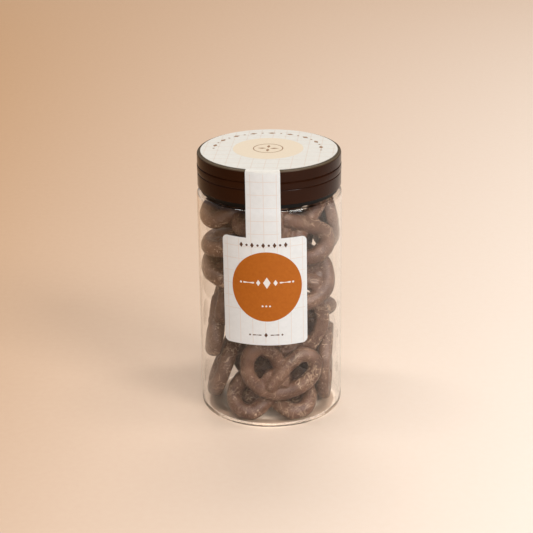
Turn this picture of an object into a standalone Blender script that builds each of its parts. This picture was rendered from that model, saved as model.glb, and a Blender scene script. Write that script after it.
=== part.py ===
"""A sealed clear jar of chocolate covered pretzels.

A thin-walled clear plastic jar with a foot ring, a rounded heel, a short
shoulder and a screw neck; a brown screw lid with a raised bead on its skirt; a
paper seal label that covers the lid, runs down over its edge and ends in a
round-cornered panel on the wall; and the pretzels, each a rope laid in two
loops, coated in chocolate, leaning and lying on one another in the jar.

Units are metres in the scene; the named sizes below are millimetres. The jar
stands on z = 0 and its label faces -Y.
"""

import math

import bmesh
import bpy
import numpy as np
from mathutils import Matrix

MM = 0.001

# Jar: the outer wall tapers a little from the shoulder to the heel.
WALL_TOP_R = 37.9
WALL_LOW_R = 37.7
WALL_T = 0.8
HEEL_R = 3.8
FLOOR_T = 1.3
FOOT_IN_R = 27.0
PUSH_UP = 0.7
SHOULDER_Z = 121.4
SHOULDER_R = 2.0
NECK_OUT_R = 34.7
NECK_IN_R = 33.5
NECK_TOP_Z = 139.9
THREAD_R = 35.7

# Lid.
LID_R = 37.4
LID_Z0 = 124.3
LID_Z1 = 142.3
LID_WALL = 1.3
LID_TOP_T = 1.9
RIM_R = 36.0  # the set-back rim below the skirt
RIM_IN_R = 35.2
RIM_Z0 = 121.9
LID_EDGE_R = 1.2
BEAD_Z0 = 132.3
BEAD_Z1 = 135.6
BEAD_OUT = 0.12

# Label: a disc on the lid, a strip and a panel, one sheet of paper.
LABEL_T = 0.2
LABEL_GAP = 0.12
DISC_R = 35.5
STRIP_HALF = math.radians(13.5)
PANEL_HALF = math.radians(34.1)
PANEL_TOP_Z = 107.0
PANEL_LOW_Z = 48.4
PANEL_CORNER = 2.7
LABEL_TURN = -0.020  # radians, the whole label sits a little to the left
SLANT = 0.00018  # radians of turn for each mm of height, as the strip was laid

# Pretzels.
PIECE_GAP = 0.5
FLOOR_Z = FLOOR_T
ROOF_Z = LID_Z1 - LID_TOP_T

SEGMENTS = 48

# x, y, z of the centre; yaw (0 faces the front, + turns to the right), tilt (0
# upright, 90 lying flat) and spin in its own plane, in degrees; width, height
# and rope radius; and how firmly it keeps its place among the others. Read from
# how each one stands or lies in the jar.
PRETZELS = [
    ("pretzel_front_low", 4.6, -21.5, 11.0, 3, 60, 182, 48, 38, 4.2, 9),
    ("pretzel_front", 7.0, -27.5, 29, 14, 9, 0, 45, 36, 3.95, 7),
    ("pretzel_left_foot", -29.2, -1, 20.6, -86, 10, 88, 40, 37, 4.6, 9),
    ("pretzel_left", -28.2, 1, 50.5, -80, 10, -92, 43, 36, 4.3, 6),
    ("pretzel_right_foot", 29, -6, 21.8, 261, 0, 90, 42, 35, 3.9, 8),
    ("pretzel_right", 14, -14.5, 46, 201, -2, -6, 46, 37, 4.0, 9),
    ("pretzel_right_mid", 16.4, -8.5, 75, 16, 32, 90, 41, 36, 4.2, 6),
    ("pretzel_left_flat", -17, -1, 79.5, -90, 88, 8, 44, 37, 4.1, 4),
    ("pretzel_left_upper", -17, -2, 93.5, -80, 86, 0, 45, 38, 4.3, 4),
    ("pretzel_left_top", -16, -7, 114, -30, 62, 176, 43, 36, 4.4, 6),
    ("pretzel_right_top", 18.8, -20.4, 108.5, 38, 0, -79, 46, 38, 4.2, 9),
    ("pretzel_right_high", 27.2, 8.5, 102, 104, 0, -92, 42, 36, 4.0, 4),
    ("pretzel_right_low", 15.5, 4, 52.5, 0, 86, -41, 42, 35, 3.9, 4),
    ("pretzel_back_foot", 8.8, 24.9, 22.0, 164, -2, -45, 45, 37, 4.1, 2),
    ("pretzel_back", -9.1, 25.1, 60.6, -160, 15, 1, 45, 37, 4.1, 2),
    ("pretzel_back_upper", -6.3, 25.6, 102.8, -167, 17, -123, 44, 37, 4.1, 2),
    ("pretzel_core_low", 3.2, 2.0, 7.7, -10, 81, -166, 43, 36, 4.0, 2),
    ("pretzel_core", -5.5, 12.2, 31.4, -60, 35, -130, 43, 35, 4.0, 2),
    ("pretzel_back_top", -6.1, 13.9, 125.6, 163, 85, 88, 43, 36, 4.0, 1),
    ("pretzel_core_high", 8.5, 7.7, 94.7, 25, 16, 88, 43, 35, 4.0, 2),
]


# The front pretzel was laid unevenly: its rope's centre line in its own plane,
# from one end over the crossing, round the right loop, along the bottom arc,
# round the left loop and back; the last value lifts it off the plane.
FRONT_ROPE = [
    (-9.0, -10.2, 0.5),
    (-4.7, -4.7, 1.0),
    (-0.4, 0.6, 1.1),
    (4.2, 5.0, 0.9),
    (9.5, 7.7, 0.3),
    (14.2, 7.0, 0.0),
    (17.0, 3.1, 0.0),
    (16.0, -2.7, 0.0),
    (11.5, -7.9, 0.0),
    (5.2, -11.3, -0.3),
    (-1.6, -12.6, -0.5),
    (-8.4, -11.3, -0.3),
    (-14.2, -7.9, 0.0),
    (-18.0, -2.6, 0.0),
    (-19.4, 3.7, 0.0),
    (-18.0, 9.5, 0.0),
    (-14.2, 13.3, 0.0),
    (-9.4, 13.3, 0.0),
    (-5.2, 9.5, -0.4),
    (-2.6, 4.7, -1.0),
    (-0.6, -0.5, -1.0),
    (0.0, -5.8, -0.4),
    (-1.0, -10.0, 0.3),
]
HAND_LAID = {"pretzel_front": FRONT_ROPE}


def clear_scene():
    for obj in list(bpy.data.objects):
        bpy.data.objects.remove(obj, do_unlink=True)


def material(name, colour, roughness, metallic=0.0, alpha=1.0, ior=1.45):
    made = bpy.data.materials.new(name)
    made.use_nodes = True
    shader = made.node_tree.nodes["Principled BSDF"]
    shader.inputs["Base Color"].default_value = (*colour, 1.0)
    shader.inputs["Roughness"].default_value = roughness
    shader.inputs["Metallic"].default_value = metallic
    shader.inputs["Alpha"].default_value = alpha
    shader.inputs["IOR"].default_value = ior
    made.diffuse_color = (*colour, alpha)
    return made


def add_object(name, mesh, mat, smooth=True):
    obj = bpy.data.objects.new(name, mesh)
    bpy.context.scene.collection.objects.link(obj)
    mesh.materials.append(mat)
    if smooth:
        for face in mesh.polygons:
            face.use_smooth = True
    return obj


def arc(cx, cz, radius, start, end, steps):
    """Points (r, z) of an arc, angles in degrees from +r."""
    return [
        (
            cx + radius * math.cos(math.radians(start + (end - start) * k / steps)),
            cz + radius * math.sin(math.radians(start + (end - start) * k / steps)),
        )
        for k in range(steps + 1)
    ]


def revolve(name, profile, segments=SEGMENTS):
    """A closed body turned about Z from a profile that runs once round its
    section, counter-clockwise in (r, z); points on the axis are shared."""
    bm = bmesh.new()
    rings = []
    for r, z in profile:
        if r < 1e-6:
            rings.append([bm.verts.new((0, 0, z * MM))])
        else:
            rings.append(
                [
                    bm.verts.new(
                        (
                            r * MM * math.cos(2 * math.pi * k / segments),
                            r * MM * math.sin(2 * math.pi * k / segments),
                            z * MM,
                        )
                    )
                    for k in range(segments)
                ]
            )
    count = len(profile)
    for n in range(count):
        low, high = rings[n], rings[(n + 1) % count]
        if len(low) == 1 and len(high) == 1:
            continue
        for k in range(segments):
            m = (k + 1) % segments
            if len(low) == 1:
                bm.faces.new((low[0], high[m], high[k]))
            elif len(high) == 1:
                bm.faces.new((low[k], low[m], high[0]))
            else:
                bm.faces.new((low[k], low[m], high[m], high[k]))
    bmesh.ops.recalc_face_normals(bm, faces=bm.faces)
    mesh = bpy.data.meshes.new(name)
    bm.to_mesh(mesh)
    bm.free()
    return mesh


def wall_radius(z):
    """Outer radius of the jar's straight wall at height z."""
    t = (z - HEEL_R) / (SHOULDER_Z - SHOULDER_R - HEEL_R)
    return WALL_LOW_R + (WALL_TOP_R - WALL_LOW_R) * min(max(t, 0.0), 1.0)


def jar_profile():
    inner_heel = HEEL_R - WALL_T * 0.6
    low = WALL_LOW_R
    outer = [(0.0, PUSH_UP), (FOOT_IN_R - 4.0, PUSH_UP), (FOOT_IN_R, 0.0)]
    outer += arc(low - HEEL_R, HEEL_R, HEEL_R, -90, 0, 4)
    outer += arc(
        WALL_TOP_R - SHOULDER_R, SHOULDER_Z - SHOULDER_R, SHOULDER_R, 0, 90, 3
    )
    outer += [
        (NECK_OUT_R, SHOULDER_Z + 0.3),
        (NECK_OUT_R, 131.0),
        (THREAD_R, 131.8),
        (THREAD_R, 132.8),
        (NECK_OUT_R, 133.6),
        (NECK_OUT_R, NECK_TOP_Z),
        (NECK_IN_R, NECK_TOP_Z),
        (NECK_IN_R, SHOULDER_Z - 0.6),
    ]
    inner = [(WALL_TOP_R - SHOULDER_R - 0.4, SHOULDER_Z - 1.1)]
    inner += [(WALL_TOP_R - WALL_T, SHOULDER_Z - SHOULDER_R - 0.9)]
    inner += arc(
        low - WALL_T - inner_heel, FLOOR_T + inner_heel, inner_heel, 0, -90, 3
    )
    inner += [
        (FOOT_IN_R + 0.6, FLOOR_T),
        (FOOT_IN_R - 3.6, FLOOR_T + PUSH_UP),
        (0.0, FLOOR_T + PUSH_UP),
    ]
    return outer + inner


def lid_profile():
    inner_r = LID_R - LID_WALL
    roof = LID_Z1 - LID_TOP_T
    points = [(0.0, roof), (inner_r, roof)]
    points += [(inner_r, LID_Z0 + 1.0), (RIM_IN_R, LID_Z0 + 0.6), (RIM_IN_R, RIM_Z0), (RIM_R, RIM_Z0)]
    points += [(RIM_R, LID_Z0), (LID_R - 0.35, LID_Z0), (LID_R, LID_Z0 + 0.35)]
    points += [
        (LID_R, BEAD_Z0 - 0.25),
        (LID_R + BEAD_OUT, BEAD_Z0 + 0.25),
        (LID_R + BEAD_OUT, BEAD_Z1 - 0.25),
        (LID_R, BEAD_Z1 + 0.25),
    ]
    points += arc(LID_R - LID_EDGE_R, LID_Z1 - LID_EDGE_R, LID_EDGE_R, 0, 90, 3)
    points += [(0.0, LID_Z1)]
    return points


def label_turn(z):
    """How far the label's centre line has turned at height z."""
    return LABEL_TURN - SLANT * (z - 78.0)


def label_path():
    """(r, z) of the sheet's inner face from the disc's edge down to the panel's
    foot, with the matching outward normals."""
    out = LID_R + BEAD_OUT + LABEL_GAP
    rows = []
    top = LID_Z1 + LABEL_GAP
    rows.append((DISC_R, top, 0.0, 1.0))
    bend = LID_EDGE_R + 0.35
    for k in range(4):
        a = math.radians(90 - 30 * k)
        rows.append(
            (
                out - bend + bend * math.cos(a),
                top - bend + bend * math.sin(a),
                math.cos(a),
                math.sin(a),
            )
        )
    rows.append((out, LID_Z0 + 0.2, 1.0, 0.0))
    shelf = SHOULDER_Z - SHOULDER_R - 0.4
    rows.append((wall_radius(shelf) + LABEL_GAP, shelf, 1.0, 0.0))
    return rows


def panel_heights():
    steps = [0.0, 0.14, 0.45, 1.0]
    top = [PANEL_TOP_Z - PANEL_CORNER * s for s in steps]
    low = [PANEL_LOW_Z + PANEL_CORNER * s for s in reversed(steps)]
    middle = [(top[-1] + low[0]) / 2]
    return top + middle + low


def panel_half(z):
    """Half width of the panel in radians, drawn in at its round corners."""
    edge = min(PANEL_TOP_Z - z, z - PANEL_LOW_Z)
    if edge >= PANEL_CORNER:
        return PANEL_HALF
    d = PANEL_CORNER - max(edge, 0.0)
    cut = PANEL_CORNER - math.sqrt(max(PANEL_CORNER**2 - d * d, 0.0))
    return PANEL_HALF - cut / WALL_TOP_R


def thick_sheet(name, inner, outer, cells):
    """One closed body from a sheet given by its two faces' points and cells."""
    bm = bmesh.new()
    low = [bm.verts.new([c * MM for c in p]) for p in inner]
    high = [bm.verts.new([c * MM for c in p]) for p in outer]
    edges = {}
    for cell in cells:
        bm.faces.new([high[i] for i in cell])
        bm.faces.new([low[i] for i in reversed(cell)])
        for a, b in zip(cell, cell[1:] + cell[:1]):
            edges[(a, b)] = True
    for a, b in edges:
        if (b, a) not in edges:
            bm.faces.new((high[b], high[a], low[a], low[b]))
    bmesh.ops.recalc_face_normals(bm, faces=bm.faces)
    mesh = bpy.data.meshes.new(name)
    bm.to_mesh(mesh)
    bm.free()
    return mesh


def label_mesh(name, strip_cols=2, side_cols=3, disc_cols=22):
    """Columns run across the sheet: the strip's in the middle, and more on each
    side for the panel. Angle 0 is the front, -Y."""
    inner, outer, cells = [], [], []

    def put(r, z, angle, nr, nz):
        s, c = math.sin(angle), -math.cos(angle)
        inner.append((r * s, r * c, z))
        r2, z2 = r + nr * LABEL_T, z + nz * LABEL_T
        outer.append((r2 * s, r2 * c, z2))
        return len(inner) - 1

    def strip_angles(z):
        return [
            label_turn(z) + STRIP_HALF * (k / strip_cols)
            for k in range(-strip_cols, strip_cols + 1)
        ]

    rows = [
        [put(r, z, a, nr, nz) for a in strip_angles(z)]
        for r, z, nr, nz in label_path()
    ]
    # The disc: its front edge is the strip's first row.
    first = strip_angles(label_path()[0][1])
    rim = list(rows[0])
    span = 2 * math.pi - (first[-1] - first[0])
    for k in range(1, disc_cols):
        rim.append(
            put(DISC_R, LID_Z1 + LABEL_GAP, first[-1] + span * k / disc_cols, 0.0, 1.0)
        )
    ring = []
    for index in rim:
        x, y, z = inner[index]
        angle = math.atan2(x, -y)
        ring.append(put(DISC_R * 0.5, z, angle, 0.0, 1.0))
    centre = put(0.0, LID_Z1 + LABEL_GAP, 0.0, 0.0, 1.0)
    for k in range(len(rim)):
        m = (k + 1) % len(rim)
        cells.append([rim[k], rim[m], ring[m], ring[k]])
        cells.append([ring[k], ring[m], centre])
    # The strip, then the panel, whose middle columns carry on from it.
    heights = panel_heights()
    for n, z in enumerate(heights):
        half, turn, r = panel_half(z), label_turn(z), wall_radius(z) + LABEL_GAP
        angles = strip_angles(z)
        left = [
            turn - STRIP_HALF - (half - STRIP_HALF) * k / side_cols
            for k in range(side_cols, 0, -1)
        ]
        right = [2 * turn - a for a in reversed(left)]
        full = [put(r, z, a, 1.0, 0.0) for a in left + angles + right]
        if n == 0:
            rows.append(full[side_cols : side_cols + 2 * strip_cols + 1])
        else:
            for k in range(len(full) - 1):
                cells.append([last[k + 1], last[k], full[k], full[k + 1]])
        last = full
    for upper, lower in zip(rows, rows[1:]):
        for k in range(len(upper) - 1):
            cells.append([upper[k + 1], upper[k], lower[k], lower[k + 1]])
    return thick_sheet(name, inner, outer, cells)


def spline(points, count):
    """Catmull-Rom curve through points, resampled to even steps."""
    p = np.array(points, float)
    p = np.vstack([2 * p[0] - p[1], p, 2 * p[-1] - p[-2]])
    out = []
    for k in range(1, len(p) - 2):
        for t in np.linspace(0, 1, 12, endpoint=False):
            a, b, c, d = p[k - 1], p[k], p[k + 1], p[k + 2]
            out.append(
                0.5
                * (
                    2 * b
                    + (c - a) * t
                    + (2 * a - 5 * b + 4 * c - d) * t * t
                    + (3 * b - a - 3 * c + d) * t**3
                )
            )
    out.append(p[-2])
    out = np.array(out)
    step = np.r_[0, np.cumsum(np.linalg.norm(np.diff(out, axis=0), axis=1))]
    even = np.linspace(0, step[-1], count)
    return np.stack([np.interp(even, step, out[:, k]) for k in range(3)], 1)


def pretzel_rope(number, width, height, radius, count=50):
    """Centre line of one pretzel in its own plane, loops towards +y: from one
    end up over the crossing, round a loop, along the bottom arc, round the
    other loop, back over the crossing to the other end."""
    laid = HAND_LAID.get(PRETZELS[number][0])
    if laid:
        path = spline([(x, y, z * radius * 0.3) for x, y, z in laid], count)
        path[:, :2] -= (path[:, :2].max(0) + path[:, :2].min(0)) / 2
        return path
    w = (width / 2 - radius) / 19.0
    h = (height - 2 * radius) / 29.5
    lean = 0.9 * math.sin(2.1 * number)
    cross = 2.6 + 1.2 * math.sin(1.3 * number + 1.0)
    fat = 1.0 + 0.05 * math.sin(3.7 * number)
    lift = radius * 0.30
    half = [
        (-9.0, -10.6, 0.6),
        (-4.8, -4.0, 1.0),
        (0.0, cross, 1.0),
        (4.4, 9.4, 0.6),
        (10.0, 14.2, 0.0),
        (16.2, 12.4, 0.0),
        (19.0, 5.0, 0.0),
        (16.8, -4.6, 0.0),
        (9.6, -12.6, -0.2),
    ]
    points = [((x * fat + lean) * w, y * h, z * lift) for x, y, z in half]
    points.append((lean * w, -15.0 * h, -0.3 * lift))
    points += [
        ((-x / fat + lean) * w, (y - 0.5 * lean) * h, -z * lift if y > 0 else 0.4 * z * lift)
        for x, y, z in reversed(half)
    ]
    path = spline(points, count)
    path[:, :2] -= (path[:, :2].max(0) + path[:, :2].min(0)) / 2
    return path


def pretzel_web(number, width, height, radius):
    """Centre of the chocolate that fills the small gap between the rope's ends
    and the bottom arc."""
    if PRETZELS[number][0] in HAND_LAID:
        return np.array([[-3.4, -5.4, 0.0]])
    path = pretzel_rope(number, width, height, radius)
    ends = (path[0] + path[-1]) / 2
    low = path[len(path) // 2]
    return np.array([[ends[0], ends[1] * 0.72 + low[1] * 0.28 + 1.6, 0.0]])


def web_shape(name):
    return (2.0, 1.6, 0.82) if name in HAND_LAID else (1.05, 1.15, 0.8)


def turn_matrix(yaw, tilt, spin):
    y, t, s = (math.radians(v) for v in (yaw, tilt, spin))
    return np.array(
        Matrix.Rotation(y, 3, "Z")
        @ Matrix.Rotation(math.pi / 2 - t, 3, "X")
        @ Matrix.Rotation(s, 3, "Z")
    )


def small_turn(v):
    angle = float(np.linalg.norm(v))
    if angle < 1e-12:
        return np.eye(3)
    return np.array(Matrix.Rotation(angle, 3, list(v / angle)))


def turn_between(now, aim):
    """The small turn, as a vector, that takes one rotation towards another."""
    off = aim @ now.T
    return 0.5 * np.array(
        [off[2, 1] - off[1, 2], off[0, 2] - off[2, 0], off[1, 0] - off[0, 1]]
    )


def push_limits(points, radius, gap):
    """How far each ball of a rope has to move to be clear of the wall, the
    floor and the lid."""
    move = np.zeros_like(points)
    rho = np.hypot(points[:, 0], points[:, 1])
    z = points[:, 2]
    t = np.clip((z - HEEL_R) / (SHOULDER_Z - HEEL_R), 0, 1)
    room = WALL_LOW_R + (WALL_TOP_R - WALL_LOW_R) * t - WALL_T
    room = np.where(z + radius > SHOULDER_Z - 3.5, NECK_IN_R, room) - radius - gap
    over = np.clip(rho - room, 0, None)
    move[:, :2] -= points[:, :2] / np.maximum(rho, 1e-9)[:, None] * over[:, None]
    floor = np.where(rho < FOOT_IN_R + 2.0, FLOOR_Z + PUSH_UP, FLOOR_Z + 0.4)
    move[:, 2] += np.clip(floor + radius + gap - z, 0, None)
    move[:, 2] -= np.clip(z - (ROOF_Z - radius - gap), 0, None)
    # The rounded heel inside the jar.
    heel = HEEL_R - WALL_T * 0.6
    cr, cz = WALL_LOW_R - WALL_T - heel, FLOOR_T + heel
    dr, dz = rho - cr, z - cz
    far = np.hypot(dr, dz)
    inside = (dr > 0) & (dz < 0) & (far > heel - radius - gap)
    pull = np.where(inside, far - max(heel - radius - gap, 0.0), 0.0)
    scale = pull / np.maximum(far, 1e-9)
    move[:, 2] -= dz * scale * 0.5
    move[:, :2] -= points[:, :2] / np.maximum(rho, 1e-9)[:, None] * (dr * scale)[:, None] * 0.5
    return move


def settle(table, rounds=900, hold=0.06):
    """Moves the pretzels as little as it takes for each to be clear of the
    others and of the jar: every rope is a chain of balls, and each overlap
    pushes its two ropes apart. Returns (rotation, place) for each."""
    ropes = [
        np.vstack([pretzel_rope(n, *row[7:10]), pretzel_web(n, *row[7:10])])
        for n, row in enumerate(table)
    ]
    radii = np.array([row[9] for row in table])
    firm = np.array([row[10] for row in table], float)
    turns = [turn_matrix(*row[4:7]) for row in table]
    places = [np.array(row[1:4], float) for row in table]
    homes = [p.copy() for p in places]
    aims = [t.copy() for t in turns]
    reach = np.array([np.linalg.norm(r, axis=1).max() for r in ropes]) + radii + 1
    count = len(table)
    for turn_no in range(rounds):
        late = turn_no / rounds
        gap = PIECE_GAP * min(1.0, 0.25 + late * 1.5)
        balls = [ropes[i] @ turns[i].T + places[i] for i in range(count)]
        moves = [push_limits(balls[i], radii[i], gap) for i in range(count)]
        most = max(float(np.abs(m).max()) for m in moves)
        for i in range(count):
            for j in range(i + 1, count):
                if np.linalg.norm(places[i] - places[j]) > reach[i] + reach[j]:
                    continue
                apart = balls[i][:, None] - balls[j][None]
                far = np.linalg.norm(apart, axis=2)
                deep = radii[i] + radii[j] + gap - far
                hit = deep > 0
                if not hit.any():
                    continue
                most = max(most, float(deep.max()))
                push = apart / np.maximum(far, 1e-6)[..., None]
                push = push * np.where(hit, deep, 0.0)[..., None]
                share = firm[j] / (firm[i] + firm[j])
                moves[i] = moves[i] + share * push.sum(1) / np.maximum(hit.sum(1), 1)[:, None]
                moves[j] = moves[j] - (1 - share) * push.sum(0) / np.maximum(hit.sum(0), 1)[:, None]
        if most < 0.01 and gap >= PIECE_GAP:
            break
        for i in range(count):
            hit = np.linalg.norm(moves[i], axis=1) > 1e-9
            number = max(int(hit.sum()), 1)
            arm = balls[i] - places[i]
            slide = moves[i].sum(0) / number
            twist = np.cross(arm, moves[i]).sum(0) / max(float((arm[hit] ** 2).sum()), 1.0)
            places[i] = places[i] + (0.9 + 0.5 * late) * slide
            turns[i] = small_turn((1.0 + 0.3 * late) * twist) @ turns[i]
            if late < 0.45:
                back = hold * firm[i] / (1.0 + firm[i])
                places[i] = places[i] + back * (homes[i] - places[i])
                turns[i] = small_turn(back * turn_between(turns[i], aims[i])) @ turns[i]
    return [(turns[i], places[i]) for i in range(count)]


def tube(bm, path, radii, sides=10):
    """A rope's skin with rounded ends."""
    tangent = np.gradient(path, axis=0)
    tangent /= np.linalg.norm(tangent, axis=1)[:, None]
    side = np.cross(tangent, [0.0, 0.0, 1.0])
    side /= np.linalg.norm(side, axis=1)[:, None]
    up = np.cross(side, tangent)
    rings = []
    for p, s, u, r in zip(path, side, up, radii):
        rings.append(
            [
                bm.verts.new(
                    p
                    + r * math.cos(2 * math.pi * k / sides) * s
                    + r * math.sin(2 * math.pi * k / sides) * u
                )
                for k in range(sides)
            ]
        )
    for a, b in zip(rings, rings[1:]):
        for k in range(sides):
            m = (k + 1) % sides
            bm.faces.new((a[k], a[m], b[m], b[k]))
    bm.faces.new(list(reversed(rings[0])))
    bm.faces.new(rings[-1])


def pretzel_object(number, row, pose, mat):
    """The rope's skin, fused where it crosses and meets itself."""
    name, radius = row[0], row[9]
    path = pretzel_rope(number, *row[7:10], count=56)
    along = np.linspace(0, 1, len(path))
    radii = (radius + 0.1) * (1 + 0.03 * np.sin(17 * along + number))
    taper = np.minimum(along, 1 - along) / 0.02
    radii = radii * np.sqrt(np.clip(taper, 0.25, 1.0))
    bm = bmesh.new()
    tube(bm, path * MM, radii * MM)
    web = Matrix.Translation(pretzel_web(number, *row[7:10])[0] * MM)
    bmesh.ops.create_icosphere(
        bm,
        subdivisions=2,
        radius=radius * 0.98 * MM,
        matrix=web @ Matrix.Diagonal((*web_shape(name), 1.0)),
    )
    bmesh.ops.recalc_face_normals(bm, faces=bm.faces)
    mesh = bpy.data.meshes.new(name)
    bm.to_mesh(mesh)
    bm.free()
    obj = add_object(name, mesh, mat)
    remesh = obj.modifiers.new("fuse", "REMESH")
    remesh.mode = "VOXEL"
    remesh.voxel_size = 1.15 * MM
    remesh.use_smooth_shade = True
    thin = obj.modifiers.new("thin", "DECIMATE")
    thin.ratio = 0.052
    turn, place = pose
    obj.matrix_world = Matrix.Translation(place * MM) @ Matrix(turn.tolist()).to_4x4()
    return obj


def main():
    clear_scene()
    clear = material("clear_plastic", (0.93, 0.93, 0.92), 0.05, alpha=0.3, ior=1.5)
    brown = material("brown_plastic", (0.030, 0.012, 0.006), 0.32)
    paper = material("label_paper", (0.78, 0.76, 0.72), 0.6)
    chocolate = material("chocolate", (0.16, 0.085, 0.055), 0.5)
    add_object("jar", revolve("jar", jar_profile()), clear)
    add_object("lid", revolve("lid", lid_profile()), brown)
    add_object("seal_label", label_mesh("seal_label"), paper)
    for number, (row, pose) in enumerate(zip(PRETZELS, settle(PRETZELS))):
        pretzel_object(number, row, pose, chocolate)


main()
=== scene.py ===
"""Looks of the sealed clear jar of chocolate covered pretzels.

The jar, the lid and the label are turned and bent from the same sizes as the
part, with fine profiles; each pretzel is its rope at its place in the jar,
fused, smoothed and given the coating's foot, ripples and drips. The label's
print is a fine grid, plain fields of colour and small plain shapes.
"""

import math

import bmesh
import bpy
import numpy as np
from mathutils import Matrix, Vector


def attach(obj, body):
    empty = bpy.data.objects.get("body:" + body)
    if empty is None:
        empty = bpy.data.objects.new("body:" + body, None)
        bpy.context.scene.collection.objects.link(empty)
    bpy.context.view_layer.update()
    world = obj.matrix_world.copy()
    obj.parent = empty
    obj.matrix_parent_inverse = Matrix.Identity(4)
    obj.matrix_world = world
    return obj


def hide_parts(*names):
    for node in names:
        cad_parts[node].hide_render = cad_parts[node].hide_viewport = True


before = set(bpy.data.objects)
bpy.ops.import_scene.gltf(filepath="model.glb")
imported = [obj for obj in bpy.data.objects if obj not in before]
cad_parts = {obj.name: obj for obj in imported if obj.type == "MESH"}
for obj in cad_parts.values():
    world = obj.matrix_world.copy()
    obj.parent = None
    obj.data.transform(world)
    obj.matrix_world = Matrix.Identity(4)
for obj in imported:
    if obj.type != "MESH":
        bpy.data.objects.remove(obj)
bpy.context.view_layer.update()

MM = 0.001

# Jar: the outer wall tapers a little from the shoulder to the heel.
WALL_TOP_R = 37.9
WALL_LOW_R = 37.7
WALL_T = 0.8
HEEL_R = 3.8
FLOOR_T = 1.3
FOOT_IN_R = 27.0
PUSH_UP = 0.7
SHOULDER_Z = 121.4
SHOULDER_R = 2.0
NECK_OUT_R = 34.7
NECK_IN_R = 33.5
NECK_TOP_Z = 139.9
THREAD_R = 35.7

# Lid.
LID_R = 37.4
LID_Z0 = 124.3
LID_Z1 = 142.3
LID_WALL = 1.3
LID_TOP_T = 1.9
RIM_R = 36.0  # the set-back rim below the skirt, coloured near-black as painted shade
RIM_IN_R = 35.2
RIM_Z0 = 121.9
LID_EDGE_R = 1.2
BEAD_Z0 = 132.3
BEAD_Z1 = 135.6
BEAD_OUT = 0.12

# Label: a disc on the lid, a strip and a panel, one sheet of paper.
LABEL_T = 0.2
LABEL_GAP = 0.12
DISC_R = 35.5
STRIP_HALF = math.radians(13.5)
PANEL_HALF = math.radians(34.1)
PANEL_TOP_Z = 107.0
PANEL_LOW_Z = 48.4
PANEL_CORNER = 2.7
LABEL_TURN = -0.020  # radians, the whole label sits a little to the left
SLANT = 0.00018  # radians of turn for each mm of height, as the strip was laid

# Pretzels.
PIECE_GAP = 0.5
FLOOR_Z = FLOOR_T
ROOF_Z = LID_Z1 - LID_TOP_T

SEGMENTS = 48

# x, y, z of the centre; yaw (0 faces the front, + turns to the right), tilt (0
# upright, 90 lying flat) and spin in its own plane, in degrees; width, height
# and rope radius; and how firmly it keeps its place among the others. Read from
# how each one stands or lies in the jar.
PRETZELS = [
    ("pretzel_front_low", 4.6, -21.5, 11.0, 3, 60, 182, 48, 38, 4.2, 9),
    ("pretzel_front", 7.0, -27.5, 29, 14, 9, 0, 45, 36, 3.95, 7),
    ("pretzel_left_foot", -29.2, -1, 20.6, -86, 10, 88, 40, 37, 4.6, 9),
    ("pretzel_left", -28.2, 1, 50.5, -80, 10, -92, 43, 36, 4.3, 6),
    ("pretzel_right_foot", 29, -6, 21.8, 261, 0, 90, 42, 35, 3.9, 8),
    ("pretzel_right", 14, -14.5, 46, 201, -2, -6, 46, 37, 4.0, 9),
    ("pretzel_right_mid", 16.4, -8.5, 75, 16, 32, 90, 41, 36, 4.2, 6),
    ("pretzel_left_flat", -17, -1, 79.5, -90, 88, 8, 44, 37, 4.1, 4),
    ("pretzel_left_upper", -17, -2, 93.5, -80, 86, 0, 45, 38, 4.3, 4),
    ("pretzel_left_top", -16, -7, 114, -30, 62, 176, 43, 36, 4.4, 6),
    ("pretzel_right_top", 18.8, -20.4, 108.5, 38, 0, -79, 46, 38, 4.2, 9),
    ("pretzel_right_high", 27.2, 8.5, 102, 104, 0, -92, 42, 36, 4.0, 4),
    ("pretzel_right_low", 15.5, 4, 52.5, 0, 86, -41, 42, 35, 3.9, 4),
    ("pretzel_back_foot", 8.8, 24.9, 22.0, 164, -2, -45, 45, 37, 4.1, 2),
    ("pretzel_back", -9.1, 25.1, 60.6, -160, 15, 1, 45, 37, 4.1, 2),
    ("pretzel_back_upper", -6.3, 25.6, 102.8, -167, 17, -123, 44, 37, 4.1, 2),
    ("pretzel_core_low", 3.2, 2.0, 7.7, -10, 81, -166, 43, 36, 4.0, 2),
    ("pretzel_core", -5.5, 12.2, 31.4, -60, 35, -130, 43, 35, 4.0, 2),
    ("pretzel_back_top", -6.1, 13.9, 125.6, 163, 85, 88, 43, 36, 4.0, 1),
    ("pretzel_core_high", 8.5, 7.7, 94.7, 25, 16, 88, 43, 35, 4.0, 2),
]


# The front pretzel was laid unevenly: its rope's centre line in its own plane,
# from one end over the crossing, round the right loop, along the bottom arc,
# round the left loop and back; the last value lifts it off the plane.
FRONT_ROPE = [
    (-9.0, -10.2, 0.5),
    (-4.7, -4.7, 1.0),
    (-0.4, 0.6, 1.1),
    (4.2, 5.0, 0.9),
    (9.5, 7.7, 0.3),
    (14.2, 7.0, 0.0),
    (17.0, 3.1, 0.0),
    (16.0, -2.7, 0.0),
    (11.5, -7.9, 0.0),
    (5.2, -11.3, -0.3),
    (-1.6, -12.6, -0.5),
    (-8.4, -11.3, -0.3),
    (-14.2, -7.9, 0.0),
    (-18.0, -2.6, 0.0),
    (-19.4, 3.7, 0.0),
    (-18.0, 9.5, 0.0),
    (-14.2, 13.3, 0.0),
    (-9.4, 13.3, 0.0),
    (-5.2, 9.5, -0.4),
    (-2.6, 4.7, -1.0),
    (-0.6, -0.5, -1.0),
    (0.0, -5.8, -0.4),
    (-1.0, -10.0, 0.3),
]
HAND_LAID = {"pretzel_front": FRONT_ROPE}


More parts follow.
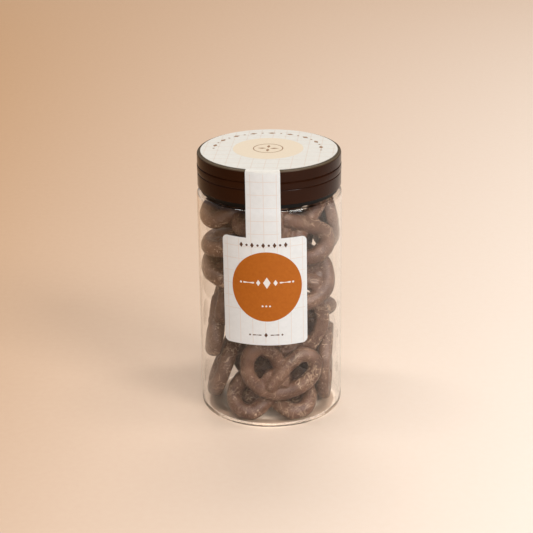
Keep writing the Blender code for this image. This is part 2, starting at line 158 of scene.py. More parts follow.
def arc(cx, cz, radius, start, end, steps):
    """Points (r, z) of an arc, angles in degrees from +r."""
    return [
        (
            cx + radius * math.cos(math.radians(start + (end - start) * k / steps)),
            cz + radius * math.sin(math.radians(start + (end - start) * k / steps)),
        )
        for k in range(steps + 1)
    ]


def revolve(name, profile, segments=SEGMENTS):
    """A closed body turned about Z from a profile that runs once round its
    section, counter-clockwise in (r, z); points on the axis are shared."""
    bm = bmesh.new()
    rings = []
    for r, z in profile:
        if r < 1e-6:
            rings.append([bm.verts.new((0, 0, z * MM))])
        else:
            rings.append(
                [
                    bm.verts.new(
                        (
                            r * MM * math.cos(2 * math.pi * k / segments),
                            r * MM * math.sin(2 * math.pi * k / segments),
                            z * MM,
                        )
                    )
                    for k in range(segments)
                ]
            )
    count = len(profile)
    for n in range(count):
        low, high = rings[n], rings[(n + 1) % count]
        if len(low) == 1 and len(high) == 1:
            continue
        for k in range(segments):
            m = (k + 1) % segments
            if len(low) == 1:
                bm.faces.new((low[0], high[m], high[k]))
            elif len(high) == 1:
                bm.faces.new((low[k], low[m], high[0]))
            else:
                bm.faces.new((low[k], low[m], high[m], high[k]))
    bmesh.ops.recalc_face_normals(bm, faces=bm.faces)
    mesh = bpy.data.meshes.new(name)
    bm.to_mesh(mesh)
    bm.free()
    return mesh


def wall_radius(z):
    """Outer radius of the jar's straight wall at height z."""
    t = (z - HEEL_R) / (SHOULDER_Z - SHOULDER_R - HEEL_R)
    return WALL_LOW_R + (WALL_TOP_R - WALL_LOW_R) * min(max(t, 0.0), 1.0)


def label_turn(z):
    """How far the label's centre line has turned at height z."""
    return LABEL_TURN - SLANT * (z - 78.0)


def spline(points, count):
    """Catmull-Rom curve through points, resampled to even steps."""
    p = np.array(points, float)
    p = np.vstack([2 * p[0] - p[1], p, 2 * p[-1] - p[-2]])
    out = []
    for k in range(1, len(p) - 2):
        for t in np.linspace(0, 1, 12, endpoint=False):
            a, b, c, d = p[k - 1], p[k], p[k + 1], p[k + 2]
            out.append(
                0.5
                * (
                    2 * b
                    + (c - a) * t
                    + (2 * a - 5 * b + 4 * c - d) * t * t
                    + (3 * b - a - 3 * c + d) * t**3
                )
            )
    out.append(p[-2])
    out = np.array(out)
    step = np.r_[0, np.cumsum(np.linalg.norm(np.diff(out, axis=0), axis=1))]
    even = np.linspace(0, step[-1], count)
    return np.stack([np.interp(even, step, out[:, k]) for k in range(3)], 1)


def pretzel_rope(number, width, height, radius, count=50):
    """Centre line of one pretzel in its own plane, loops towards +y: from one
    end up over the crossing, round a loop, along the bottom arc, round the
    other loop, back over the crossing to the other end."""
    laid = HAND_LAID.get(PRETZELS[number][0])
    if laid:
        path = spline([(x, y, z * radius * 0.3) for x, y, z in laid], count)
        path[:, :2] -= (path[:, :2].max(0) + path[:, :2].min(0)) / 2
        return path
    w = (width / 2 - radius) / 19.0
    h = (height - 2 * radius) / 29.5
    lean = 0.9 * math.sin(2.1 * number)
    cross = 2.6 + 1.2 * math.sin(1.3 * number + 1.0)
    fat = 1.0 + 0.05 * math.sin(3.7 * number)
    lift = radius * 0.30
    half = [
        (-9.0, -10.6, 0.6),
        (-4.8, -4.0, 1.0),
        (0.0, cross, 1.0),
        (4.4, 9.4, 0.6),
        (10.0, 14.2, 0.0),
        (16.2, 12.4, 0.0),
        (19.0, 5.0, 0.0),
        (16.8, -4.6, 0.0),
        (9.6, -12.6, -0.2),
    ]
    points = [((x * fat + lean) * w, y * h, z * lift) for x, y, z in half]
    points.append((lean * w, -15.0 * h, -0.3 * lift))
    points += [
        ((-x / fat + lean) * w, (y - 0.5 * lean) * h, -z * lift if y > 0 else 0.4 * z * lift)
        for x, y, z in reversed(half)
    ]
    path = spline(points, count)
    path[:, :2] -= (path[:, :2].max(0) + path[:, :2].min(0)) / 2
    return path


def pretzel_web(number, width, height, radius):
    """Centre of the chocolate that fills the small gap between the rope's ends
    and the bottom arc."""
    if PRETZELS[number][0] in HAND_LAID:
        return np.array([[-3.4, -5.4, 0.0]])
    path = pretzel_rope(number, width, height, radius)
    ends = (path[0] + path[-1]) / 2
    low = path[len(path) // 2]
    return np.array([[ends[0], ends[1] * 0.72 + low[1] * 0.28 + 1.6, 0.0]])


def web_shape(name):
    return (2.0, 1.6, 0.82) if name in HAND_LAID else (1.05, 1.15, 0.8)


def turn_matrix(yaw, tilt, spin):
    y, t, s = (math.radians(v) for v in (yaw, tilt, spin))
    return np.array(
        Matrix.Rotation(y, 3, "Z")
        @ Matrix.Rotation(math.pi / 2 - t, 3, "X")
        @ Matrix.Rotation(s, 3, "Z")
    )


def small_turn(v):
    angle = float(np.linalg.norm(v))
    if angle < 1e-12:
        return np.eye(3)
    return np.array(Matrix.Rotation(angle, 3, list(v / angle)))


def turn_between(now, aim):
    """The small turn, as a vector, that takes one rotation towards another."""
    off = aim @ now.T
    return 0.5 * np.array(
        [off[2, 1] - off[1, 2], off[0, 2] - off[2, 0], off[1, 0] - off[0, 1]]
    )


def push_limits(points, radius, gap):
    """How far each ball of a rope has to move to be clear of the wall, the
    floor and the lid."""
    move = np.zeros_like(points)
    rho = np.hypot(points[:, 0], points[:, 1])
    z = points[:, 2]
    t = np.clip((z - HEEL_R) / (SHOULDER_Z - HEEL_R), 0, 1)
    room = WALL_LOW_R + (WALL_TOP_R - WALL_LOW_R) * t - WALL_T
    room = np.where(z + radius > SHOULDER_Z - 3.5, NECK_IN_R, room) - radius - gap
    over = np.clip(rho - room, 0, None)
    move[:, :2] -= points[:, :2] / np.maximum(rho, 1e-9)[:, None] * over[:, None]
    floor = np.where(rho < FOOT_IN_R + 2.0, FLOOR_Z + PUSH_UP, FLOOR_Z + 0.4)
    move[:, 2] += np.clip(floor + radius + gap - z, 0, None)
    move[:, 2] -= np.clip(z - (ROOF_Z - radius - gap), 0, None)
    # The rounded heel inside the jar.
    heel = HEEL_R - WALL_T * 0.6
    cr, cz = WALL_LOW_R - WALL_T - heel, FLOOR_T + heel
    dr, dz = rho - cr, z - cz
    far = np.hypot(dr, dz)
    inside = (dr > 0) & (dz < 0) & (far > heel - radius - gap)
    pull = np.where(inside, far - max(heel - radius - gap, 0.0), 0.0)
    scale = pull / np.maximum(far, 1e-9)
    move[:, 2] -= dz * scale * 0.5
    move[:, :2] -= points[:, :2] / np.maximum(rho, 1e-9)[:, None] * (dr * scale)[:, None] * 0.5
    return move


def settle(table, rounds=900, hold=0.06):
    """Moves the pretzels as little as it takes for each to be clear of the
    others and of the jar: every rope is a chain of balls, and each overlap
    pushes its two ropes apart. Returns (rotation, place) for each."""
    ropes = [
        np.vstack([pretzel_rope(n, *row[7:10]), pretzel_web(n, *row[7:10])])
        for n, row in enumerate(table)
    ]
    radii = np.array([row[9] for row in table])
    firm = np.array([row[10] for row in table], float)
    turns = [turn_matrix(*row[4:7]) for row in table]
    places = [np.array(row[1:4], float) for row in table]
    homes = [p.copy() for p in places]
    aims = [t.copy() for t in turns]
    reach = np.array([np.linalg.norm(r, axis=1).max() for r in ropes]) + radii + 1
    count = len(table)
    for turn_no in range(rounds):
        late = turn_no / rounds
        gap = PIECE_GAP * min(1.0, 0.25 + late * 1.5)
        balls = [ropes[i] @ turns[i].T + places[i] for i in range(count)]
        moves = [push_limits(balls[i], radii[i], gap) for i in range(count)]
        most = max(float(np.abs(m).max()) for m in moves)
        for i in range(count):
            for j in range(i + 1, count):
                if np.linalg.norm(places[i] - places[j]) > reach[i] + reach[j]:
                    continue
                apart = balls[i][:, None] - balls[j][None]
                far = np.linalg.norm(apart, axis=2)
                deep = radii[i] + radii[j] + gap - far
                hit = deep > 0
                if not hit.any():
                    continue
                most = max(most, float(deep.max()))
                push = apart / np.maximum(far, 1e-6)[..., None]
                push = push * np.where(hit, deep, 0.0)[..., None]
                share = firm[j] / (firm[i] + firm[j])
                moves[i] = moves[i] + share * push.sum(1) / np.maximum(hit.sum(1), 1)[:, None]
                moves[j] = moves[j] - (1 - share) * push.sum(0) / np.maximum(hit.sum(0), 1)[:, None]
        if most < 0.01 and gap >= PIECE_GAP:
            break
        for i in range(count):
            hit = np.linalg.norm(moves[i], axis=1) > 1e-9
            number = max(int(hit.sum()), 1)
            arm = balls[i] - places[i]
            slide = moves[i].sum(0) / number
            twist = np.cross(arm, moves[i]).sum(0) / max(float((arm[hit] ** 2).sum()), 1.0)
            places[i] = places[i] + (0.9 + 0.5 * late) * slide
            turns[i] = small_turn((1.0 + 0.3 * late) * twist) @ turns[i]
            if late < 0.45:
                back = hold * firm[i] / (1.0 + firm[i])
                places[i] = places[i] + back * (homes[i] - places[i])
                turns[i] = small_turn(back * turn_between(turns[i], aims[i])) @ turns[i]
    return [(turns[i], places[i]) for i in range(count)]


# Fine sizes of the looks.
RING = 224  # segments round the jar and the lid
VOXEL = 0.5  # mm, the pretzels' mesh
GRID_PITCH = 6.75
GRID_WIDTH = 0.34
INK_LIFT = 0.03
PAPER_T = LABEL_T


# ---------------------------------------------------------------- helpers


def node(tree, kind, **values):
    made = tree.nodes.new(kind)
    for key, value in values.items():
        if key in made.inputs:
            made.inputs[key].default_value = value
        else:
            setattr(made, key, value)
    return made


def new_material(name):
    made = bpy.data.materials.new(name)
    made.use_nodes = True
    tree = made.node_tree
    shader = tree.nodes["Principled BSDF"]
    return made, tree, shader


def spot(tree):
    """Object coordinates, in metres."""
    return tree.nodes.new("ShaderNodeTexCoord").outputs["Object"]


def noise(tree, where, scale, detail=2.0, rough=0.5, distortion=0.0):
    made = node(
        tree,
        "ShaderNodeTexNoise",
        Scale=scale,
        Detail=detail,
        Roughness=rough,
        Distortion=distortion,
    )
    tree.links.new(where, made.inputs["Vector"])
    return made.outputs["Fac"]


def ramp(tree, value, stops):
    made = tree.nodes.new("ShaderNodeValToRGB")
    line = made.color_ramp
    while len(line.elements) < len(stops):
        line.elements.new(0.5)
    for element, (at, colour) in zip(line.elements, stops):
        element.position = at
        if isinstance(colour, (int, float)):
            colour = (colour, colour, colour)
        element.color = (*colour, 1.0)
    tree.links.new(value, made.inputs["Fac"])
    return made.outputs["Color"]


def maths(tree, what, a, b=None, clamp=False):
    made = tree.nodes.new("ShaderNodeMath")
    made.operation = what
    made.use_clamp = clamp
    for socket, value in zip(made.inputs, (a, b)):
        if value is None:
            continue
        if isinstance(value, (int, float)):
            socket.default_value = value
        else:
            tree.links.new(value, socket)
    return made.outputs[0]


def blend(tree, factor, a, b, mode="MIX"):
    made = tree.nodes.new("ShaderNodeMix")
    made.data_type = "RGBA"
    made.blend_type = mode
    for socket, value in ((made.inputs[0], factor), (made.inputs[6], a), (made.inputs[7], b)):
        if isinstance(value, (int, float)):
            socket.default_value = value
        elif isinstance(value, tuple):
            socket.default_value = (*value, 1.0)
        else:
            tree.links.new(value, socket)
    return made.outputs[2]


def bump(tree, height, strength, distance):
    made = node(tree, "ShaderNodeBump", Strength=strength, Distance=distance)
    tree.links.new(height, made.inputs["Height"])
    return made.outputs["Normal"]


def add_piece(name, mesh, mats, smooth=True):
    piece = bpy.data.objects.new(name, mesh)
    bpy.context.scene.collection.objects.link(piece)
    for mat in mats:
        mesh.materials.append(mat)
    if smooth:
        mesh.polygons.foreach_set("use_smooth", [True] * len(mesh.polygons))
    mesh.update()
    return piece


def soft_edges(piece, degrees=32):
    """Smooth faces, with edges sharper than the angle kept crisp."""
    limit = math.cos(math.radians(degrees))
    bm = bmesh.new()
    bm.from_mesh(piece.data)
    for edge in bm.edges:
        if len(edge.link_faces) == 2:
            a, b = edge.link_faces
            edge.smooth = a.normal.dot(b.normal) > limit
    bm.to_mesh(piece.data)
    bm.free()


# ---------------------------------------------------------------- materials


def clear_plastic():
    """Thin clear wall: faint grey-warm tint, faint waves from moulding; its
    shadow is light."""
    made, tree, shader = new_material("clear_plastic_wall")
    where = spot(tree)
    tint = ramp(tree, noise(tree, where, 30, 1), [(0.3, (0.975, 0.975, 0.970)), (0.7, (0.990, 0.990, 0.985))])
    tree.links.new(tint, shader.inputs["Base Color"])
    shader.inputs["Transmission Weight"].default_value = 1.0
    shader.inputs["IOR"].default_value = 1.34
    shader.inputs["Roughness"].default_value = 0.0
    clear = tree.nodes.new("ShaderNodeBsdfTransparent")
    clear.inputs["Color"].default_value = (0.975, 0.97, 0.96, 1.0)
    ray = tree.nodes.new("ShaderNodeLightPath")
    mix = tree.nodes.new("ShaderNodeMixShader")
    tree.links.new(ray.outputs["Is Shadow Ray"], mix.inputs["Fac"])
    tree.links.new(shader.outputs[0], mix.inputs[1])
    tree.links.new(clear.outputs[0], mix.inputs[2])
    tree.links.new(mix.outputs[0], tree.nodes["Material Output"].inputs["Surface"])
    return made


def brown_plastic():
    made, tree, shader = new_material("brown_plastic_lid")
    where = spot(tree)
    colour = ramp(
        tree,
        noise(tree, where, 45, 3),
        [(0.3, (0.0215, 0.0052, 0.0013)), (0.7, (0.0285, 0.0075, 0.0020))],
    )
    # Painted highlight: the rounded top edge is coloured lighter, standing in for the bright reflection along it.
    split = tree.nodes.new("ShaderNodeSeparateXYZ")
    tree.links.new(where, split.inputs[0])
    height = maths(tree, "DIVIDE", maths(tree, "SUBTRACT", split.outputs["Z"], 0.1410), 0.0013, True)
    colour = blend(tree, ramp(tree, height, [(0.25, 0.0), (0.8, 0.85)]), colour, (0.125, 0.090, 0.055))
    tree.links.new(colour, shader.inputs["Base Color"])
    rough = ramp(tree, noise(tree, where, 160, 4), [(0.3, 0.17), (0.75, 0.25)])
    tree.links.new(rough, shader.inputs["Roughness"])
    shader.inputs["Specular IOR Level"].default_value = 0.10
    tree.links.new(bump(tree, noise(tree, where, 900, 2), 0.06, 0.0001), shader.inputs["Normal"])
    return made


def rim_painted_shade():
    """Painted shade: a near-black matt ring set back under the skirt, standing in for the shade under the lid."""
    made, tree, shader = new_material("lid_rim_painted_shade")
    where = spot(tree)
    colour = ramp(tree, noise(tree, where, 300, 3), [(0.3, (0.0022, 0.0018, 0.0016)), (0.7, (0.0040, 0.0033, 0.0030))])
    tree.links.new(colour, shader.inputs["Base Color"])
    shader.inputs["Roughness"].default_value = 0.42
    shader.inputs["Specular IOR Level"].default_value = 0.15
    return made


def top_painted_shade(tree, where, colour, top_shade_tone=(0.86, 0.785, 0.690)):
    """Painted shade: the stock and ink on the lid's top are multiplied a shade darker and warmer than on the wall,
    where the lights from above fall strongest.
    """
    split = tree.nodes.new("ShaderNodeSeparateXYZ")
    tree.links.new(where, split.inputs[0])
    height = maths(tree, "DIVIDE", maths(tree, "SUBTRACT", split.outputs["Z"], 0.1405), 0.0018, True)
    return blend(tree, ramp(tree, height, [(0.1, 0.0), (0.9, 1.0)]), colour, top_shade_tone, "MULTIPLY")


def paper(name, low, high):
    """Satin label stock with a faint fibre mottle."""
    made, tree, shader = new_material(name)
    where = spot(tree)
    mottle = noise(tree, where, 420, 5, 0.6)
    # painted shade on the lid's top
    colour = top_painted_shade(tree, where, ramp(tree, mottle, [(0.3, low), (0.7, high)]))
    tree.links.new(colour, shader.inputs["Base Color"])
    tree.links.new(ramp(tree, noise(tree, where, 90, 3), [(0.3, 0.46), (0.7, 0.58)]), shader.inputs["Roughness"])
    shader.inputs["Specular IOR Level"].default_value = 0.4
    tree.links.new(bump(tree, noise(tree, where, 1600, 3), 0.12, 0.00008), shader.inputs["Normal"])
    return made


def ink(name, low, high):
    made, tree, shader = new_material(name)
    where = spot(tree)
    mottle = noise(tree, where, 700, 5, 0.65)
    # painted shade on the lid's top
    colour = top_painted_shade(tree, where, ramp(tree, mottle, [(0.3, low), (0.7, high)]))
    tree.links.new(colour, shader.inputs["Base Color"])
    shader.inputs["Roughness"].default_value = 0.5
    shader.inputs["Specular IOR Level"].default_value = 0.25
    tree.links.new(bump(tree, noise(tree, where, 1600, 3), 0.1, 0.00006), shader.inputs["Normal"])
    return made


def chocolate():
    """Set coating: uneven brown, rubbed and dusty patches, fine pale contour
    lines, flecks along its edges."""
    made, tree, shader = new_material("chocolate_coating")
    where = spot(tree)
    wear = tree.nodes.new("ShaderNodeAttribute")
    wear.attribute_name = "wear"
    worn = wear.outputs["Fac"]
    base = ramp(
        tree,
        noise(tree, where, 110, 4, 0.55),
        [(0.28, (0.066, 0.0255, 0.0130)), (0.5, (0.108, 0.0465, 0.0250)), (0.72, (0.148, 0.0710, 0.0410))],
    )
    dusty = ramp(tree, noise(tree, where, 240, 6, 0.65), [(0.52, 0.0), (0.74, 0.30)])
    base = blend(tree, dusty, base, (0.250, 0.152, 0.102))
    # Contour lines: where a slow noise crosses its middle value.
    contour = noise(tree, where, 170, 3, 0.5, 1.2)
    line = maths(tree, "ABSOLUTE", maths(tree, "SUBTRACT", contour, 0.5))
    line = ramp(tree, line, [(0.0, 1.0), (0.016, 0.9), (0.030, 0.0)])
    patch = ramp(tree, noise(tree, where, 75, 2), [(0.46, 0.0), (0.56, 1.0)])
    line = maths(tree, "MULTIPLY", line, patch)
    line = maths(tree, "MULTIPLY", line, maths(tree, "ADD", maths(tree, "MULTIPLY", worn, 1.05), 0.12), True)
    # Flecks and crumbs.
    fleck = ramp(tree, noise(tree, where, 880, 3, 0.6, 0.8), [(0.604, 0.0), (0.638, 1.0)])
    sparse = ramp(tree, noise(tree, where, 130, 2), [(0.42, 0.0), (0.56, 1.0)])
    fleck = maths(tree, "MULTIPLY", fleck, sparse)
    fleck = maths(tree, "MULTIPLY", fleck, maths(tree, "ADD", maths(tree, "MULTIPLY", worn, 1.2), 0.10), True)
    colour = blend(tree, line, base, (0.56, 0.385, 0.250))
    colour = blend(tree, fleck, colour, (0.70, 0.505, 0.335))
    tree.links.new(colour, shader.inputs["Base Color"])
    tree.links.new(ramp(tree, noise(tree, where, 320, 4), [(0.3, 0.40), (0.7, 0.56)]), shader.inputs["Roughness"])
    shader.inputs["Specular IOR Level"].default_value = 0.38
    grain = noise(tree, where, 620, 5, 0.6)
    raised = maths(tree, "ADD", grain, maths(tree, "MULTIPLY", maths(tree, "ADD", line, fleck), 0.8))
    tree.links.new(bump(tree, raised, 0.30, 0.00022), shader.inputs["Normal"])
    return made


# ---------------------------------------------------------------- jar and lid


def fine_jar_profile():
    inner_heel = HEEL_R - WALL_T * 0.6
    low = WALL_LOW_R
    points = [(0.0, PUSH_UP), (10.0, PUSH_UP), (FOOT_IN_R - 4.5, PUSH_UP)]
    points += [(FOOT_IN_R - 3.0, PUSH_UP - 0.1), (FOOT_IN_R - 1.0, 0.12), (FOOT_IN_R, 0.0)]
    points += arc(low - HEEL_R, HEEL_R, HEEL_R, -90, 0, 12)
    top = SHOULDER_Z - SHOULDER_R
    points += [(wall_radius(z), z) for z in np.linspace(HEEL_R + 3, top - 3, 16)]
    centre = WALL_TOP_R - SHOULDER_R
    points += arc(centre, top, SHOULDER_R, 0, 31, 4)
    slope = [(centre + SHOULDER_R * math.cos(math.radians(a)), top + SHOULDER_R * math.sin(math.radians(a))) for a in (33, 67)]
    for t in (0.0, 0.07, 0.5, 0.93, 1.0):
        swell = 0.012 * (1 - (2 * t - 1) ** 2)
        points.append(
            (
                slope[0][0] + (slope[1][0] - slope[0][0]) * t + swell * 0.643,
                slope[0][1] + (slope[1][1] - slope[0][1]) * t + swell * 0.766,
            )
        )
    points += arc(centre, top, SHOULDER_R, 69, 90, 3)
    points += [(NECK_OUT_R + 0.5, SHOULDER_Z + 0.05), (NECK_OUT_R + 0.1, SHOULDER_Z + 0.3), (NECK_OUT_R, SHOULDER_Z + 0.7)]
    points += [(NECK_OUT_R, 128.0), (NECK_OUT_R, 131.0), (THREAD_R - 0.2, 131.7), (THREAD_R, 132.0)]
    points += [(THREAD_R, 132.6), (THREAD_R - 0.2, 132.9), (NECK_OUT_R, 133.6)]
    points += [(NECK_OUT_R, NECK_TOP_Z - 0.4), (NECK_OUT_R - 0.15, NECK_TOP_Z - 0.12), (NECK_OUT_R - 0.4, NECK_TOP_Z)]
    points += [(NECK_IN_R + 0.3, NECK_TOP_Z), (NECK_IN_R + 0.08, NECK_TOP_Z - 0.1), (NECK_IN_R, NECK_TOP_Z - 0.3)]
    points += [(NECK_IN_R, 130.0), (NECK_IN_R, SHOULDER_Z - 0.1), (NECK_IN_R + 0.12, SHOULDER_Z - 0.5)]
    points += [(NECK_IN_R + 0.6, SHOULDER_Z - 0.75)]
    points += arc(WALL_TOP_R - WALL_T - 1.5, SHOULDER_Z - 0.8 - 1.5, 1.5, 90, 0, 7)
    points += [(wall_radius(z) - WALL_T, z) for z in np.linspace(top - 4, HEEL_R + 4, 16)]
    points += arc(low - WALL_T - inner_heel, FLOOR_T + inner_heel, inner_heel, 0, -90, 10)
    points += [(FOOT_IN_R + 0.6, FLOOR_T), (FOOT_IN_R - 0.6, FLOOR_T + 0.1), (FOOT_IN_R - 2.6, FLOOR_T + PUSH_UP - 0.1)]
    points += [(FOOT_IN_R - 4.0, FLOOR_T + PUSH_UP), (10.0, FLOOR_T + PUSH_UP), (0.0, FLOOR_T + PUSH_UP)]
    return points


def fine_lid_profile():
    inner_r = LID_R - LID_WALL
    roof = LID_Z1 - LID_TOP_T
    points = [(0.0, roof), (20.0, roof), (inner_r - 0.8, roof)] + arc(inner_r - 0.8, roof - 0.8, 0.8, 90, 0, 4)[1:]
    points += [(inner_r, LID_Z0 + 1.0), (RIM_IN_R, LID_Z0 + 0.6), (RIM_IN_R, RIM_Z0 + 0.2)]
    points += [(RIM_IN_R + 0.15, RIM_Z0), (RIM_R - 0.25, RIM_Z0), (RIM_R, RIM_Z0 + 0.25), (RIM_R, LID_Z0 - 0.3)]
    points += [(RIM_R + 0.3, LID_Z0)] + arc(LID_R - 0.35, LID_Z0 + 0.35, 0.35, -90, 0, 4)
    points += [(LID_R, BEAD_Z0 - 0.75), (LID_R - 0.28, BEAD_Z0 - 0.42), (LID_R - 0.30, BEAD_Z0 - 0.16)]
    points += [(LID_R + BEAD_OUT - 0.06, BEAD_Z0 + 0.05), (LID_R + BEAD_OUT, BEAD_Z0 + 0.3)]
    points += [(LID_R + BEAD_OUT, BEAD_Z1 - 0.3), (LID_R + BEAD_OUT - 0.06, BEAD_Z1 - 0.05)]
    points += [(LID_R - 0.30, BEAD_Z1 + 0.16), (LID_R - 0.28, BEAD_Z1 + 0.42), (LID_R, BEAD_Z1 + 0.75)]
    points += arc(LID_R - LID_EDGE_R, LID_Z1 - LID_EDGE_R, LID_EDGE_R, 0, 90, 10)
    points += [(DISC_R + 0.9, LID_Z1), (DISC_R, LID_Z1), (20.0, LID_Z1), (0.0, LID_Z1)]
    return points


# ---------------------------------------------------------------- label


def sheet_profile():
    """(r, z, normal r, normal z, run) of the sheet's inner face from the disc's
    edge to the panel's foot; run is the way along the paper in mm."""
    out = LID_R + BEAD_OUT + LABEL_GAP
    top = LID_Z1 + LABEL_GAP
    bend = LID_EDGE_R + 0.35
    rows = [(DISC_R, top, 0.0, 1.0)]
    for k in range(13):
        a = math.radians(90 - 7.5 * k)
        rows.append((out - bend + bend * math.cos(a), top - bend + bend * math.sin(a), math.cos(a), math.sin(a)))
    for z in np.linspace(LID_Z1 - 3.2, LID_Z0 + 1.2, 9):
        rows.append((out, z, 1.0, 0.0))
    shelf = SHOULDER_Z - SHOULDER_R - 0.4
    low = wall_radius(shelf) + LABEL_GAP
    for t in np.linspace(0.0, 1.0, 9):
        s = t * t * (3 - 2 * t)
        rows.append((out + (low - out) * s, LID_Z0 + 0.6 + (shelf - 0.4 - LID_Z0 - 0.6) * t, 1.0, 0.0))
    for z in np.linspace(shelf - 1.5, PANEL_TOP_Z, 8):
        rows.append((wall_radius(z) + LABEL_GAP, z, 1.0, 0.0))
    run, last, done = 0.0, rows[0], []
    for row in rows:
        run += math.hypot(row[0] - last[0], row[1] - last[1])
        done.append((*row, run))
        last = row
    return done


PROFILE = sheet_profile()
STRIP_RUN = PROFILE[-1][4]


def on_sheet(across, run, lift):
    """A point of the strip or the panel: across in mm from its centre line, run
    in mm along the paper from the disc's edge, lift off the inner face."""
    if run <= STRIP_RUN:
        runs = [p[4] for p in PROFILE]
        k = min(max(int(np.searchsorted(runs, run)), 1), len(runs) - 1)
        a, b = PROFILE[k - 1], PROFILE[k]
        t = (run - a[4]) / max(b[4] - a[4], 1e-9)
        r, z, nr, nz = (a[i] + (b[i] - a[i]) * t for i in range(4))
    else:
        z = PANEL_TOP_Z - (run - STRIP_RUN)
        r, nr, nz = wall_radius(z) + LABEL_GAP, 1.0, 0.0
    angle = label_turn(z) + across / WALL_TOP_R
    rr, zz = r + nr * lift, z + nz * lift
    return (rr * math.sin(angle), -rr * math.cos(angle), zz)


def on_disc(x, y, lift):
    return (x, y, LID_Z1 + LABEL_GAP + lift)


def panel_width(z, half, corner, top, low):
    edge = min(top - z, z - low)
    if edge >= corner:
        return half
    d = corner - max(edge, 0.0)
    return half - (corner - math.sqrt(max(corner**2 - d * d, 0.0)))


def sheet_body(bm, grid, thick_grid, slot):
    """A closed thin body between two equal grids of points (rows of columns)."""
    rows, cols = len(grid), len(grid[0])
    low = [[bm.verts.new([c * MM for c in p]) for p in row] for row in grid]
    high = [[bm.verts.new([c * MM for c in p]) for p in row] for row in thick_grid]

    def face(a, b, c, d):
        made = bm.faces.new((a, b, c, d))
        made.material_index = slot

    for i in range(rows - 1):
        for j in range(cols - 1):
            face(high[i][j], high[i + 1][j], high[i + 1][j + 1], high[i][j + 1])
            face(low[i][j], low[i][j + 1], low[i + 1][j + 1], low[i + 1][j])
    for i in range(rows - 1):
        face(high[i + 1][0], high[i][0], low[i][0], low[i + 1][0])
        face(high[i][-1], high[i + 1][-1], low[i + 1][-1], low[i][-1])
    for j in range(cols - 1):
        face(high[0][j], high[0][j + 1], low[0][j + 1], low[0][j])
        face(high[-1][j + 1], high[-1][j], low[-1][j], low[-1][j + 1])


def label_sheet(mats):
    """The disc, the strip and the panel as one closed sheet."""
    half_strip = STRIP_HALF * WALL_TOP_R
    half_panel = PANEL_HALF * WALL_TOP_R
    strip_cols, side_cols = 16, 18
    inner, outer, cells = [], [], []

    def put(at):
        inner.append(at(0.0))
        outer.append(at(PAPER_T))
        return len(inner) - 1

    columns = [half_strip * k / strip_cols for k in range(-strip_cols, strip_cols + 1)]
    rows = [
        [put(lambda lift, c=c, run=p[4]: on_sheet(c, run, lift)) for c in columns]
        for p in PROFILE[:-1]
    ]
    # Disc: rings from the rim to the middle; the strip's first row is its rim.
    first = [math.atan2(inner[i][0], -inner[i][1]) for i in rows[0]]
    span = 2 * math.pi - (first[-1] - first[0])
    angles = first + [first[-1] + span * k / 200 for k in range(1, 200)]
    rim = rows[0] + [
        put(lambda lift, a=a: on_disc(DISC_R * math.sin(a), -DISC_R * math.cos(a), lift)) for a in angles[len(first):]
    ]
    last = rim
    for share in (0.985, 0.9, 0.75, 0.55, 0.35, 0.15):
        ring = [
            put(lambda lift, a=a, s=share: on_disc(s * DISC_R * math.sin(a), -s * DISC_R * math.cos(a), lift))
            for a in angles
        ]
        for k in range(len(angles)):
            m = (k + 1) % len(angles)
            cells.append([last[k], last[m], ring[m], ring[k]])
        last = ring
    middle = put(lambda lift: on_disc(0.0, 0.0, lift))
    for k in range(len(angles)):
        cells.append([last[k], last[(k + 1) % len(angles)], middle])
    # Panel.
    tall = PANEL_TOP_Z - PANEL_LOW_Z
    steps = [PANEL_CORNER * (1 - math.cos(math.radians(a))) for a in range(0, 91, 9)]
    drops = steps + list(np.linspace(PANEL_CORNER, tall - PANEL_CORNER, 24)[1:-1]) + [tall - s for s in reversed(steps)]
    last = None
    for drop in drops:
        z = PANEL_TOP_Z - drop
        half = panel_width(z, half_panel, PANEL_CORNER, PANEL_TOP_Z, PANEL_LOW_Z)
        side = [half_strip + (half - half_strip) * k / side_cols for k in range(1, side_cols + 1)]
        line = [-c for c in reversed(side)] + columns + side
        full = [put(lambda lift, c=c, d=drop: on_sheet(c, STRIP_RUN + d, lift)) for c in line]
        if last is None:
            rows.append(full[side_cols : side_cols + len(columns)])
        else:
            for k in range(len(full) - 1):
                cells.append([last[k + 1], last[k], full[k], full[k + 1]])
        last = full
    for upper, lower in zip(rows, rows[1:]):
        for k in range(len(upper) - 1):
            cells.append([upper[k + 1], upper[k], lower[k], lower[k + 1]])
    bm = bmesh.new()
    low = [bm.verts.new([c * MM for c in p]) for p in inner]
    high = [bm.verts.new([c * MM for c in p]) for p in outer]
    edges = set()
    for cell in cells:
        bm.faces.new([high[i] for i in cell])
        bm.faces.new([low[i] for i in reversed(cell)])
        for a, b in zip(cell, cell[1:] + cell[:1]):
            edges.add((a, b))
    for a, b in sorted(edges):
        if (b, a) not in edges:
            bm.faces.new((high[b], high[a], low[a], low[b]))
    bmesh.ops.recalc_face_normals(bm, faces=bm.faces)
    mesh = bpy.data.meshes.new("label_paper_sheet")
    bm.to_mesh(mesh)
    bm.free()
    return mesh


